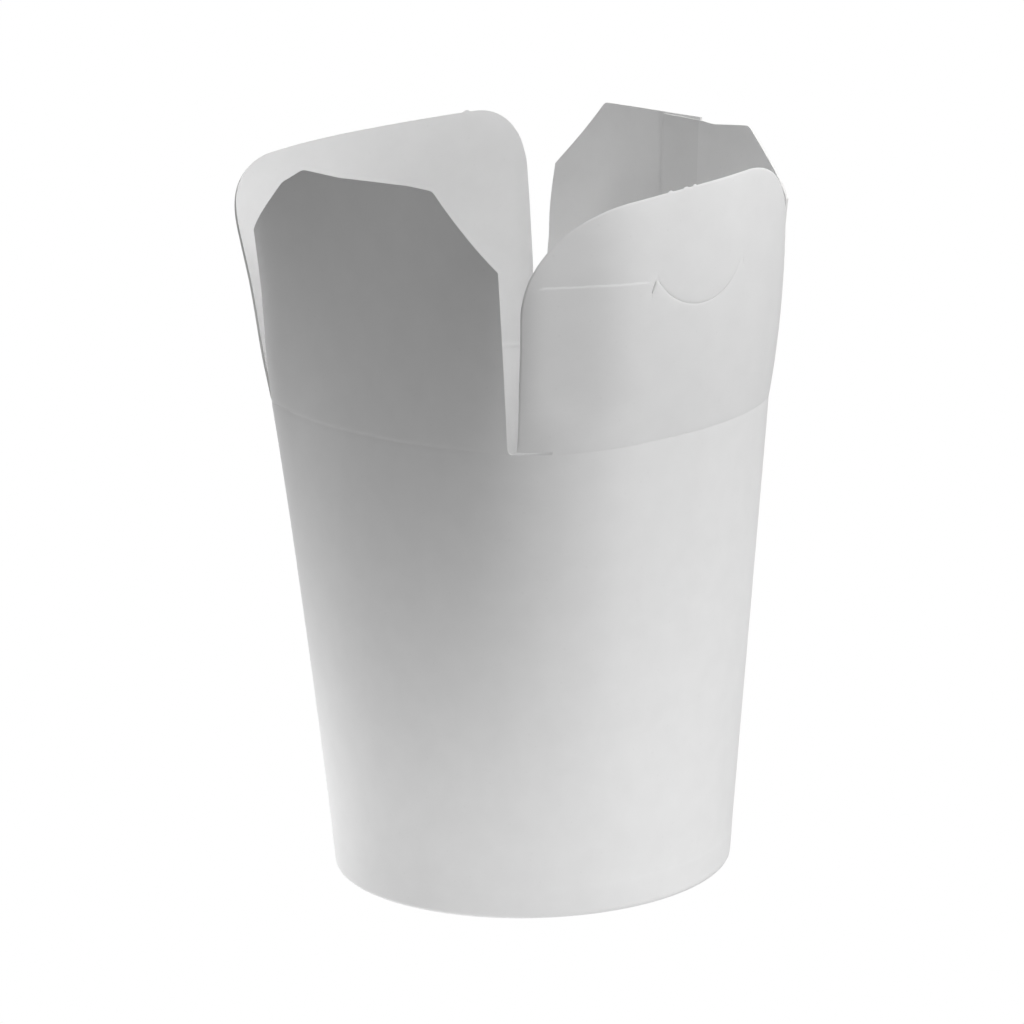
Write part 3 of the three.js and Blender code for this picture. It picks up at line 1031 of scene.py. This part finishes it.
def grain_group():
    """Paper grain: short fibres lying mostly one way, and the cloudy mottle of the sheet."""
    if "Board Grain" in bpy.data.node_groups:
        return bpy.data.node_groups["Board Grain"]
    group, start, end = new_group(
        "Board Grain",
        [("Surface", "NodeSocketVector", None), ("Fibre Size", "NodeSocketFloat", 0.35),
         ("Cloud Size", "NodeSocketFloat", 7.0)],
        [("Height", "NodeSocketFloat"), ("Cloud", "NodeSocketFloat"),
         ("Gloss", "NodeSocketFloat")],
    )
    link = group.links.new
    per_metre = {}
    for label in ("Fibre Size", "Cloud Size"):
        divide = add_node(group, "ShaderNodeMath", {0: 1 / MM}, operation="DIVIDE")
        link(start.outputs[label], divide.inputs[1])
        per_metre[label] = divide.outputs[0]
    stretch = add_node(group, "ShaderNodeVectorMath", {1: FIBRE_STRETCH}, operation="MULTIPLY")
    link(start.outputs["Surface"], stretch.inputs[0])
    fibre = add_node(
        group, "ShaderNodeTexNoise", {"Detail": 4.0, "Roughness": 0.65, "Distortion": 0.6}
    )
    link(stretch.outputs[0], fibre.inputs["Vector"])
    link(per_metre["Fibre Size"], fibre.inputs["Scale"])
    cloud = add_node(group, "ShaderNodeTexNoise", {"Detail": 3.0, "Roughness": 0.5})
    link(start.outputs["Surface"], cloud.inputs["Vector"])
    link(per_metre["Cloud Size"], cloud.inputs["Scale"])
    height = add_node(group, "ShaderNodeMath", {1: 1 - CLOUD_RELIEF}, operation="MULTIPLY")
    link(fibre.outputs["Fac"], height.inputs[0])
    soft = add_node(group, "ShaderNodeMath", {1: CLOUD_RELIEF}, operation="MULTIPLY_ADD")
    link(cloud.outputs["Fac"], soft.inputs[0])
    link(height.outputs[0], soft.inputs[2])
    gloss = add_node(group, "ShaderNodeMapRange", {"From Min": 0.3, "From Max": 0.7})
    link(fibre.outputs["Fac"], gloss.inputs["Value"])
    spread = add_node(group, "ShaderNodeMapRange", {"From Min": 0.32, "From Max": 0.68})
    link(cloud.outputs["Fac"], spread.inputs["Value"])
    link(soft.outputs[0], end.inputs["Height"])
    link(spread.outputs[0], end.inputs["Cloud"])
    link(gloss.outputs[0], end.inputs["Gloss"])
    return group


def wear_group():
    """Handling marks: sparse dark flecks in the pulp and faint long rubs."""
    if "Handling Marks" in bpy.data.node_groups:
        return bpy.data.node_groups["Handling Marks"]
    group, start, end = new_group(
        "Handling Marks",
        [("Surface", "NodeSocketVector", None), ("Fleck Spacing", "NodeSocketFloat", 9.0)],
        [("Flecks", "NodeSocketFloat"), ("Rubs", "NodeSocketFloat")],
    )
    link = group.links.new
    scale = add_node(group, "ShaderNodeMath", {0: 1 / MM}, operation="DIVIDE")
    link(start.outputs["Fleck Spacing"], scale.inputs[1])
    cells = add_node(group, "ShaderNodeTexVoronoi", {"Randomness": 1.0}, voronoi_dimensions="2D")
    link(start.outputs["Surface"], cells.inputs["Vector"])
    link(scale.outputs[0], cells.inputs["Scale"])
    fleck = add_node(group, "ShaderNodeMapRange", {"From Min": 0.03, "From Max": 0.01})
    link(cells.outputs["Distance"], fleck.inputs["Value"])
    long = add_node(group, "ShaderNodeVectorMath", {1: RUB_SCALE}, operation="MULTIPLY")
    link(start.outputs["Surface"], long.inputs[0])
    rub = add_node(group, "ShaderNodeTexNoise", {"Scale": 1.0, "Detail": 3.0, "Roughness": 0.55})
    link(long.outputs[0], rub.inputs["Vector"])
    faint = add_node(group, "ShaderNodeMapRange", {"From Min": 0.45, "From Max": 0.75})
    link(rub.outputs["Fac"], faint.inputs["Value"])
    link(fleck.outputs[0], end.inputs["Flecks"])
    link(faint.outputs[0], end.inputs["Rubs"])
    return group


def board_material(name, colour_value, roughness, fibre_size, bump):
    """A face of the board: near-white, mottled, with fine fibres and faint rubs."""
    if name in bpy.data.materials:
        return bpy.data.materials[name]
    finish = bpy.context.scene.noodle_box.finish
    material = bpy.data.materials.new(name)
    material.use_nodes = True
    tree = material.node_tree
    link = tree.links.new
    shader = tree.nodes["Principled BSDF"]
    place = add_node(tree, "ShaderNodeUVMap", uv_map="board")
    grain = add_node(tree, "ShaderNodeGroup", node_tree=grain_group())
    grain.inputs["Fibre Size"].default_value = fibre_size
    marks = add_node(tree, "ShaderNodeGroup", node_tree=wear_group())
    link(place.outputs["UV"], grain.inputs["Surface"])
    link(place.outputs["UV"], marks.inputs["Surface"])
    white = (*colour_value, 1)
    dull = (*(value * (1 - finish.mottle) for value in colour_value), 1)
    cloudy = add_node(tree, "ShaderNodeMix", {"A": white, "B": dull}, data_type="RGBA")
    link(grain.outputs["Cloud"], cloudy.inputs["Factor"])
    fleck = add_node(tree, "ShaderNodeMath", {1: FLECK_STRENGTH}, operation="MULTIPLY")
    link(marks.outputs["Flecks"], fleck.inputs[0])
    speck = add_node(tree, "ShaderNodeMix", {"B": FLECK_COLOUR}, data_type="RGBA")
    link(fleck.outputs[0], speck.inputs["Factor"])
    link(cloudy.outputs["Result"], speck.inputs["A"])
    link(speck.outputs["Result"], shader.inputs["Base Color"])
    rough = add_node(
        tree, "ShaderNodeMapRange",
        {"To Min": roughness + SMOOTHEST, "To Max": roughness + ROUGHEST},
    )
    link(grain.outputs["Gloss"], rough.inputs["Value"])
    rubbed = add_node(tree, "ShaderNodeMath", {1: RUB_POLISH}, operation="MULTIPLY_ADD")
    link(marks.outputs["Rubs"], rubbed.inputs[0])
    link(rough.outputs[0], rubbed.inputs[2])
    link(rubbed.outputs[0], shader.inputs["Roughness"])
    relief = add_node(
        tree, "ShaderNodeBump", {"Strength": bump * finish.grain, "Distance": GRAIN_DEPTH * MM}
    )
    link(grain.outputs["Height"], relief.inputs["Height"])
    link(relief.outputs["Normal"], shader.inputs["Normal"])
    shader.inputs["Specular IOR Level"].default_value = SHINE
    return material


def board_materials():
    """Materials of a piece of board, in the order outer face, inner face, cut edge and glued
    band; the last is a darker copy of the lined board, painted shade for less light coming
    through two sheets. Each has its roughness, the size of its fibres in millimetres and the
    strength of its grain."""
    finish = bpy.context.scene.noodle_box.finish
    return [
        board_material("outer board", tuple(finish.outer_colour), 0.58, 0.35, 0.6),
        board_material("lined board", tuple(finish.inner_colour), 0.5, 0.5, 0.45),
        board_material("cut edge", tuple(finish.edge_colour), 0.8, 0.12, 1.0),
        # Painted shade: a darker copy of the lined board for the glued band, where two sheets let
        # less light through
        board_material("glued board", tuple(finish.doubled_shade_colour), 0.5, 0.5, 0.45),
    ]


class NOODLEBOX_OT_wall(Operator):
    """Build the cup's wall, with its folded hem, pressed crease and glued seam"""

    bl_idname = "noodle_box.wall"
    bl_label = "Wall"

    def execute(self, context):
        build_wall(all_sizes())
        return {"FINISHED"}


class NOODLEBOX_OT_base(Operator):
    """Build the recessed base with its skirt"""

    bl_idname = "noodle_box.base"
    bl_label = "Base"

    def execute(self, context):
        build_base(all_sizes())
        return {"FINISHED"}


class NOODLEBOX_OT_tuck_flaps(Operator):
    """Build the two tuck flaps, the right one with the end of the seam"""

    bl_idname = "noodle_box.tuck_flaps"
    bl_label = "Tuck flaps"

    def execute(self, context):
        sizes = all_sizes()
        build_left_tuck(sizes)
        build_right_tuck(sizes)
        return {"FINISHED"}


class NOODLEBOX_OT_lid_flaps(Operator):
    """Build the two lid flaps, the front one with its tongue, cuts and score"""

    bl_idname = "noodle_box.lid_flaps"
    bl_label = "Lid flaps"

    def execute(self, context):
        sizes = all_sizes()
        build_front_lid(sizes)
        build_back_lid(sizes)
        return {"FINISHED"}


def add_camera(studio):
    """The camera, placed and turned as the photograph was taken."""
    ahead = Vector((
        math.sin(CAMERA_YAW) * math.cos(CAMERA_PITCH),
        math.cos(CAMERA_YAW) * math.cos(CAMERA_PITCH),
        math.sin(CAMERA_PITCH),
    ))
    right = Vector((math.cos(CAMERA_YAW), -math.sin(CAMERA_YAW), 0))
    up = right.cross(ahead)
    tilted_right = right * math.cos(CAMERA_ROLL) + up * math.sin(CAMERA_ROLL)
    tilted_up = up * math.cos(CAMERA_ROLL) - right * math.sin(CAMERA_ROLL)
    view = Matrix((tilted_right, tilted_up, -ahead)).transposed().to_4x4()
    view.translation = Vector((0, -CAMERA_DISTANCE, CAMERA_HEIGHT)) * MM
    turn = Matrix.Rotation(math.radians(CAMERA_TURN), 4, "Z")
    camera = bpy.data.objects.new("camera", bpy.data.cameras.new("camera"))
    camera.matrix_world = Matrix.Translation(cup_axis()) @ turn @ view
    camera.data.lens = studio.focal_length
    camera.data.clip_end = 100
    bpy.context.scene.collection.objects.link(camera)
    bpy.context.scene.camera = camera


def add_light(name, azimuth, elevation, distance, size, aim_height, watts):
    """A square soft light that looks at the box."""
    turn = math.radians(CAMERA_TURN - 90 + azimuth)
    lift = math.radians(elevation)
    target = cup_axis() + Vector((0, 0, aim_height))
    away = Vector((math.cos(turn) * math.cos(lift), math.sin(turn) * math.cos(lift), math.sin(lift)))
    lamp = bpy.data.lights.new(name, "AREA")
    lamp.shape = "SQUARE"
    lamp.size = size
    lamp.energy = watts
    light = bpy.data.objects.new(name, lamp)
    light.location = target + away * distance
    light.rotation_euler = away.to_track_quat("Z", "Y").to_euler()
    bpy.context.scene.collection.objects.link(light)


def glow_ramp(tree, distance, stops):
    """Strength of the floor's glow by the distance from the box."""
    scaled = add_node(tree, "ShaderNodeMath", {1: GLOW_REACH}, operation="DIVIDE")
    tree.links.new(distance, scaled.inputs[0])
    ramp = add_node(tree, "ShaderNodeValToRGB")
    tree.links.new(scaled.outputs[0], ramp.inputs["Fac"])
    points = ramp.color_ramp.elements
    while len(points) < len(stops):
        points.new(0.5)
    for point, (at, strength) in zip(points, stops):
        point.position = at / GLOW_REACH
        point.color = (strength, strength, strength, 1)
    return ramp.outputs["Color"]


def floor_material(studio):
    """Plain floor: the camera sees one even colour, and the box gets light from the part of
    the floor near it, more from close by on the left and from further off on the right."""
    material = bpy.data.materials.new("studio floor")
    material.use_nodes = True
    tree = material.node_tree
    tree.nodes.clear()
    link = tree.links.new
    colour_seen = (*studio.floor_colour, 1)
    seen = add_node(tree, "ShaderNodeEmission", {"Color": colour_seen, "Strength": 1.0})
    place = add_node(tree, "ShaderNodeTexCoord")
    reach = add_node(tree, "ShaderNodeVectorMath", operation="LENGTH")
    link(place.outputs["Object"], reach.inputs[0])
    ahead = add_node(tree, "ShaderNodeVectorMath", operation="NORMALIZE")
    link(place.outputs["Object"], ahead.inputs[0])
    turn = math.radians(CAMERA_TURN + GLOW_TURN)
    rightward = add_node(
        tree, "ShaderNodeVectorMath", {1: (math.cos(turn), math.sin(turn), 0)},
        operation="DOT_PRODUCT",
    )
    link(ahead.outputs[0], rightward.inputs[0])
    share = add_node(tree, "ShaderNodeMapRange", {"From Min": -1.0, "From Max": 1.0})
    link(rightward.outputs["Value"], share.inputs["Value"])
    both = add_node(tree, "ShaderNodeMix", data_type="RGBA")
    link(share.outputs[0], both.inputs["Factor"])
    link(glow_ramp(tree, reach.outputs["Value"], LEFT_GLOW), both.inputs["A"])
    link(glow_ramp(tree, reach.outputs["Value"], RIGHT_GLOW), both.inputs["B"])
    glow = add_node(tree, "ShaderNodeEmission", {"Strength": studio.floor_glow})
    link(both.outputs["Result"], glow.inputs["Color"])
    path = add_node(tree, "ShaderNodeLightPath")
    choose = add_node(tree, "ShaderNodeMixShader")
    link(path.outputs["Is Camera Ray"], choose.inputs[0])
    link(glow.outputs[0], choose.inputs[1])
    link(seen.outputs[0], choose.inputs[2])
    out = add_node(tree, "ShaderNodeOutputMaterial")
    link(choose.outputs[0], out.inputs["Surface"])
    material.cycles.emission_sampling = "NONE"
    return material


def add_floor(studio):
    """The floor: one flat square that is stage."""
    half = FLOOR_HALF
    corners = [(-half, -half, 0), (half, -half, 0), (half, half, 0), (-half, half, 0)]
    mesh = bpy.data.meshes.new("studio_floor")
    mesh.from_pydata(corners, [], [(0, 1, 2, 3)])
    mesh.materials.append(floor_material(studio))
    floor = bpy.data.objects.new("studio_floor", mesh)
    bpy.context.scene.collection.objects.link(floor)


def set_world():
    """The surroundings: white to the camera, and without light for the box."""
    world = bpy.data.worlds.new("studio")
    world.use_nodes = True
    tree = world.node_tree
    tree.nodes.clear()
    link = tree.links.new
    path = add_node(tree, "ShaderNodeLightPath")
    seen = add_node(tree, "ShaderNodeBackground", {"Color": (1, 1, 1, 1), "Strength": 1.0})
    around = add_node(tree, "ShaderNodeBackground", {"Color": (0, 0, 0, 1), "Strength": 0.0})
    choose = add_node(tree, "ShaderNodeMixShader")
    out = add_node(tree, "ShaderNodeOutputWorld")
    link(path.outputs["Is Camera Ray"], choose.inputs[0])
    link(around.outputs[0], choose.inputs[1])
    link(seen.outputs[0], choose.inputs[2])
    link(choose.outputs[0], out.inputs["Surface"])
    bpy.context.scene.world = world


class NOODLEBOX_OT_studio(Operator):
    """Build the white floor, the soft lights and the camera"""

    bl_idname = "noodle_box.studio"
    bl_label = "Studio"

    def execute(self, context):
        studio = context.scene.noodle_box.studio
        context.scene.view_settings.view_transform = "Standard"
        add_camera(studio)
        add_floor(studio)
        set_world()
        for *place, source in LIGHTS:
            add_light(*place, getattr(studio, source))
        return {"FINISHED"}


STEPS = (
    NOODLEBOX_OT_wall,
    NOODLEBOX_OT_base,
    NOODLEBOX_OT_tuck_flaps,
    NOODLEBOX_OT_lid_flaps,
    NOODLEBOX_OT_studio,
)


class NOODLEBOX_PT_sidebar(Panel):
    """Lists the pieces of the box and their sizes in the 3D view's sidebar"""

    bl_label = "Noodle Box"
    bl_space_type = "VIEW_3D"
    bl_region_type = "UI"
    bl_category = "Noodle Box"

    def draw(self, context):
        box = context.scene.noodle_box
        for title in ("cup", "flaps", "board", "finish", "studio"):
            group = getattr(box, title)
            column = self.layout.column(heading=title.capitalize())
            for item in group.bl_rna.properties:
                if item.type == "FLOAT":
                    column.prop(group, item.identifier)
        for step in STEPS:
            self.layout.operator(step.bl_idname)


CLASSES = (
    CupSizes, FlapSizes, BoardSizes, Finish, Studio, NoodleBox, *STEPS, NOODLEBOX_PT_sidebar,
)


def register():
    """Adds the classes, and the box's sizes to every scene."""
    for item in CLASSES:
        bpy.utils.register_class(item)
    bpy.types.Scene.noodle_box = PointerProperty(type=NoodleBox)


def unregister():
    """Takes them away again."""
    del bpy.types.Scene.noodle_box
    for item in reversed(CLASSES):
        bpy.utils.unregister_class(item)


def main():
    """Builds the box and its studio."""
    register()
    bpy.ops.noodle_box.wall()
    bpy.ops.noodle_box.base()
    bpy.ops.noodle_box.tuck_flaps()
    bpy.ops.noodle_box.lid_flaps()
    bpy.ops.noodle_box.studio()


if __name__ == "__main__":
    main()
